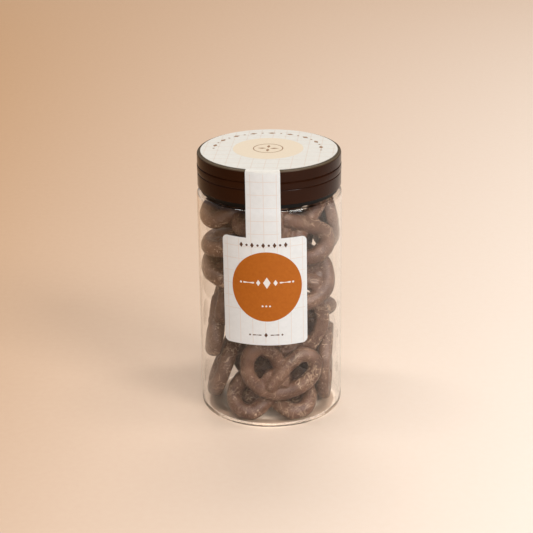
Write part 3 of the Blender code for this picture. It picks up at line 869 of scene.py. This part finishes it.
def field(bm, slot, outline, middle, place, rings=1, lift=INK_LIFT):
    """A plain field of ink: outline round a middle point, in the sheet's own
    millimetres, laid on the paper as a thin closed body."""
    top = PAPER_T + lift
    cx, cy = middle
    count = len(outline)
    layers = []
    for height in (PAPER_T - 0.05, top):
        hub = bm.verts.new([c * MM for c in place(cx, cy, height)])
        loops = [
            [
                bm.verts.new(
                    [
                        c * MM
                        for c in place(cx + (x - cx) * n / rings, cy + (y - cy) * n / rings, height)
                    ]
                )
                for x, y in outline
            ]
            for n in range(1, rings + 1)
        ]
        layers.append((hub, loops))
    for which, (hub, loops) in enumerate(layers):
        for k in range(count):
            m = (k + 1) % count
            tri = (hub, loops[0][k], loops[0][m])
            bm.faces.new(tri if which else tri[::-1]).material_index = slot
            for a, b in zip(loops, loops[1:]):
                quad = (a[k], b[k], b[m], a[m])
                bm.faces.new(quad if which else quad[::-1]).material_index = slot
    low, high = layers[0][1][-1], layers[1][1][-1]
    for k in range(count):
        m = (k + 1) % count
        bm.faces.new((low[k], low[m], high[m], high[k])).material_index = slot


def oval(cx, cy, a, b, count=96):
    return [
        (cx + a * math.cos(2 * math.pi * k / count), cy + b * math.sin(2 * math.pi * k / count))
        for k in range(count)
    ]


def bar(cx, cy, a, b, ends=7):
    """A bar with round ends, half length a, half height b."""
    points = []
    for side in (1, -1):
        for k in range(ends + 1):
            t = math.radians(-90 + 180 * k / ends)
            points.append((cx + side * (a - b + b * math.cos(t)), cy + side * b * math.sin(t)))
    return points


def lozenge(cx, cy, a, b):
    return [(cx + a, cy), (cx, cy + b), (cx - a, cy), (cx, cy - b)]


def ribbon(bm, slot, points, place, width=GRID_WIDTH):
    """A fine line of ink through points (x, y) of the sheet."""
    grid_low, grid_high = [], []
    for (x, y), (dx, dy) in points:
        sx, sy = -dy * width / 2, dx * width / 2
        pair = [(x - sx, y - sy), (x + sx, y + sy)]
        grid_low.append([place(px, py, PAPER_T - 0.05) for px, py in pair])
        grid_high.append([place(px, py, PAPER_T + INK_LIFT * 0.5) for px, py in pair])
    sheet_body(bm, grid_low, grid_high, slot)


def print_place(across, rise, height):
    """The print's own axes: it lies very slightly turned on the wall, as the
    label was laid. rise is the height on the jar."""
    z = rise + TURN_RISE * across
    if z <= PANEL_TOP_Z:
        run = STRIP_RUN + PANEL_TOP_Z - z
    else:
        runs = [p[4] for p in PROFILE]
        heights = [p[1] for p in PROFILE]
        run = float(np.interp(-z, [-h for h in heights], runs))
    return on_sheet(across, run, height)


TURN_RISE = 0.008
GRID_ACROSS = 0.25  # one line's place across the panel
GRID_RISE = 109.3  # one line's height
PITCH_ACROSS = 6.65
PITCH_RISE = 6.88


def crossing(steps, inside):
    """The longest stretch of the steps that lies inside."""
    keep = [s for s in steps if inside(s)]
    return (keep[0], keep[-1]) if len(keep) > 1 else None


def label_print(mats):
    """Grid, fields and small shapes, in the order of the slots: grid, orange,
    brown, white, cream, tan."""
    bm = bmesh.new()
    half_strip = STRIP_HALF * WALL_TOP_R
    half_panel = PANEL_HALF * WALL_TOP_R
    edge = 0.35

    def on_panel(x, rise):
        z = rise + TURN_RISE * x
        if not PANEL_LOW_Z + edge <= z <= PANEL_TOP_Z - edge:
            return False
        return abs(x) <= panel_width(z, half_panel, PANEL_CORNER, PANEL_TOP_Z, PANEL_LOW_Z) - edge

    def on_strip(x, rise):
        z = rise + TURN_RISE * x
        return abs(x) <= half_strip - edge and PANEL_TOP_Z - 0.6 < z < LID_Z1 - 0.6

    def covered(x, rise):
        return ((x - ORANGE[0]) / ORANGE[2]) ** 2 + ((rise - ORANGE[1]) / ORANGE[3]) ** 2 < 1.0

    def lay(points, across):
        """Lays the stretches of a line that are on paper and not under ink."""
        run = []
        for x, rise in points + [(None, None)]:
            if x is not None and (on_panel(x, rise) or on_strip(x, rise)) and not covered(x, rise):
                run.append((x, rise))
                continue
            if len(run) > 2:
                step = (1.0, 0.0) if across else (0.0, 1.0)
                ribbon(bm, 0, [(p, step) for p in run], lambda a, b, h: print_place(a, b, h))
            run = []

    for n in range(-4, 5):
        x = GRID_ACROSS + n * PITCH_ACROSS
        lay([(x, z) for z in np.arange(LID_Z1, PANEL_LOW_Z - 1, -0.8)], False)
    for n in range(-4, 11):
        rise = GRID_RISE - (n - 4) * PITCH_RISE
        lay([(x, rise) for x in np.arange(-half_panel, half_panel + 0.01, 0.8)], True)
    # The disc's part of the grid goes on from the strip's.
    turn = label_turn(LID_Z1)

    def disc_place(x, y, height):
        c, s = math.cos(turn), math.sin(turn)
        return on_disc(x * c - y * s, x * s + y * c, height)

    def on_disc_paper(x, y):
        return math.hypot(x, y) < DISC_R - 0.5 and math.hypot(x - CREAM[0], y - CREAM[1]) > CREAM[2]

    for across in (False, True):
        for n in range(-6, 7):
            at = GRID_ACROSS + n * PITCH_ACROSS if not across else -DISC_R + 3.6 + (n + 5) * PITCH_RISE
            run = []
            for t in list(np.arange(-DISC_R, DISC_R, 0.9)) + [None]:
                p = None if t is None else ((t, at) if across else (at, t))
                if p and on_disc_paper(*p):
                    run.append(p)
                    continue
                if len(run) > 2:
                    step = (1.0, 0.0) if across else (0.0, 1.0)
                    ribbon(bm, 0, [(q, step) for q in run], disc_place)
                run = []
    # Fields of colour.
    field(bm, 1, oval(*ORANGE, count=120), ORANGE[:2], print_place, rings=18)
    field(bm, 4, oval(CREAM[0], CREAM[1], CREAM[2], CREAM[2], count=96), CREAM[:2], disc_place, rings=2)
    # A row of small lozenges and dots above the field, a plain divider on it, a
    # short row below it.
    over = INK_LIFT * 2

    def small(slot, shape, cx, cy, place=print_place, lift=INK_LIFT):
        field(bm, slot, shape, (cx, cy), place, lift=lift)

    for n in range(-4, 5):
        cx, cy = -0.2 + 2.85 * n, 103.3
        if n % 2:
            small(2, oval(cx, cy, 0.62, 0.62, 14), cx, cy)
        else:
            small(2, lozenge(cx, cy, 0.95, 1.45), cx, cy)
    cx, cy = 1.3, 83.0
    small(3, lozenge(cx, cy, 1.9, 3.1), cx, cy, lift=over)
    for side in (-1, 1):
        small(3, lozenge(cx + side * 4.4, cy, 1.1, 1.7), cx + side * 4.4, cy, lift=over)
        small(3, bar(cx + side * 9.4, cy, 2.9, 0.42), cx + side * 9.4, cy, lift=over)
        small(3, oval(cx + side * 13.5, cy, 0.55, 0.55, 14), cx + side * 13.5, cy, lift=over)
    for n in (-1, 0, 1):
        small(3, oval(0.8 + 1.9 * n, 70.2, 0.5, 0.5, 14), 0.8 + 1.9 * n, 70.2, lift=over)
    cx, cy = 0.4, 54.1
    small(2, lozenge(cx, cy, 0.9, 1.3), cx, cy)
    for side in (-1, 1):
        small(2, bar(cx + side * 4.6, cy, 2.3, 0.30), cx + side * 4.6, cy)
        small(2, oval(cx + side * 8.4, cy, 0.5, 0.5, 12), cx + side * 8.4, cy)
    # Round the back of the disc: leaves and dots on an arc; in the middle a
    # ring with a small star of lozenges.
    for n in range(-9, 10):
        a = math.radians(10.2 * n)
        cx, cy = -0.9 + 27.9 * math.sin(a), 0.4 + 27.9 * math.cos(a)
        if n % 2:
            shape = oval(cx, cy, 0.6, 0.6, 12)
        else:
            shape = [
                (
                    cx + x * math.cos(-a) - y * math.sin(-a),
                    cy + x * math.sin(-a) + y * math.cos(-a),
                )
                for x, y in ((2.1, 0), (0, 1.15), (-2.1, 0), (0, -1.15))
            ]
        small(5, shape, cx, cy, disc_place)
    cx, cy = CREAM[0], CREAM[1]
    for n in range(4):
        a = math.radians(90 * n)
        px, py = cx + 3.1 * math.cos(a), cy + 3.1 * math.sin(a)
        shape = [
            (px + x * math.cos(a) - y * math.sin(a), py + x * math.sin(a) + y * math.cos(a))
            for x, y in ((2.5, 0), (0, 0.9), (-2.2, 0), (0, -0.9))
        ]
        small(5, shape, px, py, disc_place, over)
    ring = [((cx + 7.6 * math.cos(a), cy + 7.6 * math.sin(a)), (-math.sin(a), math.cos(a))) for a in np.radians(np.arange(0, 361, 6))]
    ribbon(bm, 5, ring, lambda x, y, h: disc_place(x, y, h + INK_LIFT * 1.5), width=0.5)
    bmesh.ops.remove_doubles(bm, verts=bm.verts, dist=1e-7)
    bmesh.ops.recalc_face_normals(bm, faces=bm.faces)
    mesh = bpy.data.meshes.new("label_print")
    bm.to_mesh(mesh)
    bm.free()
    return mesh


ORANGE = (1.25, 80.7, 18.35, 19.0)
CREAM = (-0.5, 0.9, 18.3)


# ---------------------------------------------------------------- pretzels


def hashed(ix, iy, iz, seed):
    """A repeatable number from -1 to 1 for each lattice point."""
    h = (ix * 73856093) ^ (iy * 19349663) ^ (iz * 83492791) ^ (seed * 2654435761)
    h &= 0xFFFFFFFF
    h = (h ^ (h >> 15)) * 2246822519 & 0xFFFFFFFF
    h = (h ^ (h >> 13)) * 3266489917 & 0xFFFFFFFF
    h ^= h >> 16
    return h / 2147483647.5 - 1.0


def lattice_noise(points, size, seed):
    """Smooth noise with features of the given size in mm."""
    p = points / size
    base = np.floor(p).astype(np.int64)
    t = p - base
    t = t * t * (3 - 2 * t)
    total = np.zeros(len(points))
    for dx in (0, 1):
        for dy in (0, 1):
            for dz in (0, 1):
                weight = (
                    (t[:, 0] if dx else 1 - t[:, 0])
                    * (t[:, 1] if dy else 1 - t[:, 1])
                    * (t[:, 2] if dz else 1 - t[:, 2])
                )
                total += weight * hashed(base[:, 0] + dx, base[:, 1] + dy, base[:, 2] + dz, seed)
    return total


def relax(co, edges, share, degree):
    moved = np.zeros_like(co)
    for k in range(3):
        moved[:, k] = np.bincount(edges[:, 0], co[edges[:, 1], k], len(co))
        moved[:, k] += np.bincount(edges[:, 1], co[edges[:, 0], k], len(co))
    return co + share * (moved / degree[:, None] - co)


def rope_tube(bm, path, radii, sides=18):
    tangent = np.gradient(path, axis=0)
    tangent /= np.linalg.norm(tangent, axis=1)[:, None]
    side = np.cross(tangent, [0.0, 0.0, 1.0])
    side /= np.linalg.norm(side, axis=1)[:, None]
    up = np.cross(side, tangent)
    rings = [
        [
            bm.verts.new(p + r * math.cos(2 * math.pi * k / sides) * s + r * math.sin(2 * math.pi * k / sides) * u)
            for k in range(sides)
        ]
        for p, s, u, r in zip(path, side, up, radii)
    ]
    for a, b in zip(rings, rings[1:]):
        for k in range(sides):
            m = (k + 1) % sides
            bm.faces.new((a[k], a[m], b[m], b[k]))
    bm.faces.new(list(reversed(rings[0])))
    bm.faces.new(rings[-1])


def fused(name, bm, voxel):
    mesh = bpy.data.meshes.new(name)
    bm.to_mesh(mesh)
    bm.free()
    raw = bpy.data.objects.new(name, mesh)
    bpy.context.scene.collection.objects.link(raw)
    remesh = raw.modifiers.new("fuse", "REMESH")
    remesh.mode = "VOXEL"
    remesh.voxel_size = voxel
    done = bpy.data.meshes.new_from_object(raw.evaluated_get(bpy.context.evaluated_depsgraph_get()))
    bpy.data.objects.remove(raw, do_unlink=True)
    return done


def pretzel_piece(number, row, pose, mat):
    """One coated pretzel: rope, fused crossing, filled lower gap, the coating's
    ripples and drips, and a flat foot with a small rim where it set."""
    name, radius = row[0], row[9]
    path = pretzel_rope(number, *row[7:10], count=170)
    along = np.linspace(0, 1, len(path))
    radii = (radius + 0.1) * (1 + 0.03 * np.sin(17 * along + number) + 0.02 * np.sin(41 * along + 2.3 * number))
    cap = np.minimum(along, 1 - along) * 200.0 / radius
    radii = radii * np.sqrt(np.clip(1 - (1 - np.clip(cap, 0, 1)) ** 2, 0.12, 1.0))
    bm = bmesh.new()
    rope_tube(bm, path, radii)
    web = Matrix.Translation(pretzel_web(number, *row[7:10])[0])
    bmesh.ops.create_icosphere(
        bm, subdivisions=3, radius=radius * 0.98, matrix=web @ Matrix.Diagonal((*web_shape(name), 1.0))
    )
    bmesh.ops.recalc_face_normals(bm, faces=bm.faces)
    mesh = fused(name, bm, VOXEL)
    count = len(mesh.vertices)
    co = np.empty(count * 3)
    mesh.vertices.foreach_get("co", co)
    co = co.reshape(-1, 3)
    edges = np.empty(len(mesh.edges) * 2, int)
    mesh.edges.foreach_get("vertices", edges)
    edges = edges.reshape(-1, 2)
    degree = np.bincount(edges.ravel(), minlength=count).astype(float)
    for _ in range(9):
        co = relax(co, edges, 0.55, degree)
        co = relax(co, edges, -0.53, degree)
    mesh.vertices.foreach_set("co", co.ravel())
    mesh.update()
    normal = np.empty(count * 3)
    mesh.vertices.foreach_get("normal", normal)
    normal = normal.reshape(-1, 3)
    seed = 17 * number + 5
    swell = (
        0.24 * lattice_noise(co, 8.0, seed)
        + 0.13 * lattice_noise(co, 3.2, seed + 1)
        + 0.045 * lattice_noise(co, 1.3, seed + 2)
    )
    # Drip lines: folds where the coating ran and stopped.
    slow = lattice_noise(co + [0, 0, 40.0], 5.5, seed + 3) + 0.35 * lattice_noise(co, 2.4, seed + 4)
    fold = np.exp(-((slow - 0.15) / 0.06) ** 2) * np.clip(lattice_noise(co, 11.0, seed + 5) + 0.25, 0, 1)
    co = co + normal * (swell + 0.16 * fold)[:, None]
    # The foot.
    floor = -0.76 * radius + 0.12 * lattice_noise(co, 4.0, seed + 6)
    under = np.clip((floor - co[:, 2]) / (0.3 * radius), 0, 1)
    near = np.exp(-((co[:, 2] - floor) / (0.16 * radius)) ** 2)
    flat = normal.copy()
    flat[:, 2] = 0
    rim = near * np.clip(0.30 + 0.5 * lattice_noise(co, 3.0, seed + 7), 0, 1)
    co[:, 2] = np.where(co[:, 2] < floor, floor + (co[:, 2] - floor) * 0.12, co[:, 2])
    co = co + flat * (0.42 * rim)[:, None]
    co = relax(co, edges, 0.35, degree)
    sideways = 1 - np.abs(normal[:, 2])
    wear = np.clip(0.25 + 0.55 * sideways**2 + 0.6 * near + 0.5 * fold - 0.2 * under, 0, 1)
    wear = np.clip(wear * (0.75 + 0.5 * lattice_noise(co, 9.0, seed + 8)), 0, 1)
    turn, place = pose
    co = co @ np.asarray(turn).T + place
    mesh.vertices.foreach_set("co", (co * MM).ravel())
    mesh.attributes.new("wear", "FLOAT", "POINT").data.foreach_set("value", wear)
    mesh.update()
    piece = add_piece("look_" + name, mesh, [mat])
    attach(piece, "root")
    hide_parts(name)
    return piece


# ---------------------------------------------------------------- making


def make_object():
    clear, brown, coat = clear_plastic(), brown_plastic(), chocolate()
    stock = paper("label_stock", (0.745, 0.762, 0.762), (0.790, 0.807, 0.807))
    inks = [
        ink("ink_grid", (0.725, 0.665, 0.620), (0.760, 0.705, 0.660)),
        ink("ink_orange", (0.415, 0.106, 0.005), (0.475, 0.132, 0.008)),
        ink("ink_brown", (0.085, 0.036, 0.020), (0.110, 0.048, 0.026)),
        ink("ink_white", (0.80, 0.77, 0.73), (0.85, 0.82, 0.78)),
        ink("ink_cream", (0.790, 0.705, 0.585), (0.830, 0.745, 0.620)),
        ink("ink_tan", (0.300, 0.170, 0.085), (0.340, 0.200, 0.105)),
    ]
    jar = add_piece("look_jar", revolve("look_jar", fine_jar_profile(), RING), [clear])
    soft_edges(jar, 40)
    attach(jar, "root")
    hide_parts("jar")
    lid = add_piece("look_lid", revolve("look_lid", fine_lid_profile(), RING), [brown, rim_painted_shade()])
    # Painted shade: faces below the skirt take the near-black rim slot.
    for face in lid.data.polygons:
        if face.center.z < (LID_Z0 - 0.1) * MM:
            face.material_index = 1
    soft_edges(lid, 40)
    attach(lid, "root")
    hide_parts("lid")
    sheet = add_piece("look_label", label_sheet([stock]), [stock])
    soft_edges(sheet, 40)
    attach(sheet, "root")
    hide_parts("seal_label")
    printed = add_piece("look_label_print", label_print(inks), inks)
    soft_edges(printed, 40)
    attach(printed, "root")
    for number, (row, pose) in enumerate(zip(PRETZELS, settle(PRETZELS))):
        pretzel_piece(number, row, pose, coat)


# ---------------------------------------------------------------- stage


def make_floor():
    """A pale peach floor; its colour runs darker towards the far left and lighter towards the near right as painted
    shade and painted light.
    """
    bm = bmesh.new()
    bmesh.ops.create_grid(bm, x_segments=24, y_segments=24, size=2.5)
    mesh = bpy.data.meshes.new("floor")
    bm.to_mesh(mesh)
    bm.free()
    made, tree, shader = new_material("floor_paint")
    where = spot(tree)
    split = tree.nodes.new("ShaderNodeSeparateXYZ")
    tree.links.new(where, split.inputs[0])
    x, y = split.outputs["X"], split.outputs["Y"]
    # Painted light and shade: a gradient fitted over the floor, standing in for the fall of the lamps' light.
    slope = maths(tree, "ADD", maths(tree, "MULTIPLY", x, 2.05), maths(tree, "MULTIPLY", y, -0.245))
    slope = maths(tree, "ADD", slope, maths(tree, "MULTIPLY", maths(tree, "MULTIPLY", x, y), -1.36))
    slope = maths(tree, "ADD", slope, 0.535, True)
    colour = ramp(tree, slope, [(0.0, (0.555, 0.325, 0.172)), (1.0, (0.925, 0.805, 0.690))])
    colour = blend(tree, 0.04, colour, noise(tree, where, 260, 3), "OVERLAY")
    tree.links.new(colour, shader.inputs["Base Color"])
    shader.inputs["Roughness"].default_value = 0.75
    shader.inputs["Specular IOR Level"].default_value = 0.15
    floor = bpy.data.objects.new("floor", mesh)
    bpy.context.scene.collection.objects.link(floor)
    mesh.materials.append(made)


def area_light(name, place, aim, size, power, colour=(1, 1, 1), size_y=None, spin=0.0):
    light = bpy.data.lights.new(name, "AREA")
    light.shape = "RECTANGLE"
    light.size = size
    light.size_y = size_y or size
    light.energy = power
    light.color = colour
    obj = bpy.data.objects.new(name, light)
    obj.location = place
    way = Vector(aim) - Vector(place)
    face = way.to_track_quat("-Z", "Y").to_matrix() @ Matrix.Rotation(math.radians(spin), 3, "Z")
    obj.rotation_euler = face.to_euler()
    bpy.context.scene.collection.objects.link(obj)
    return obj


def make_lights():
    world = bpy.data.worlds.new("studio")
    world.use_nodes = True
    back = world.node_tree.nodes["Background"]
    back.inputs["Color"].default_value = (0.96, 0.96, 0.97, 1.0)
    back.inputs["Strength"].default_value = 0.21
    bpy.context.scene.world = world
    white = (0.98, 0.985, 1.0)
    area_light("top_right", (0.66, -0.16, 2.4), (0.66, -0.16, 0), 1.42, 16.5, white, 0.24, 20)
    area_light("top_left", (-0.66, -0.12, 2.4), (-0.66, -0.12, 0), 1.42, 14.5, white, 0.24, -21)
    area_light("front", (0.3, -2.3, 1.5), (0, 0, 0.06), 1.5, 23.0, white)
    area_light("right", (1.62, -1.50, 1.7), (0, 0, 0.06), 0.8, 27.0, white)
    area_light("far", (0.0, 1.9, 2.3), (0, 1.3, 0), 1.6, 29.0, white)


def make_camera():
    distance, height, turn, roll = 0.9186, 0.3725, math.radians(3.5), 0.011
    focal, off_x, off_y = 1726.0, 3.86, 11.05
    aim = Vector((0.0, 0.0, 0.07115))
    back = Vector((math.sin(turn) * math.cos(height), -math.cos(turn) * math.cos(height), math.sin(height)))
    camera = bpy.data.cameras.new("camera")
    camera.sensor_width = 36.0
    camera.lens = focal / 533 * 36
    camera.shift_x = -off_x / 533
    camera.shift_y = off_y / 533
    camera.clip_start = 0.05
    obj = bpy.data.objects.new("camera", camera)
    bpy.context.scene.collection.objects.link(obj)
    face = back.to_track_quat("Z", "Y").to_matrix() @ Matrix.Rotation(-roll, 3, "Z")
    obj.matrix_world = Matrix.Translation(aim + back * distance) @ face.to_4x4()
    bpy.context.scene.camera = obj


make_object()
make_floor()
make_lights()
make_camera()
bpy.context.scene.view_settings.view_transform = "Standard"
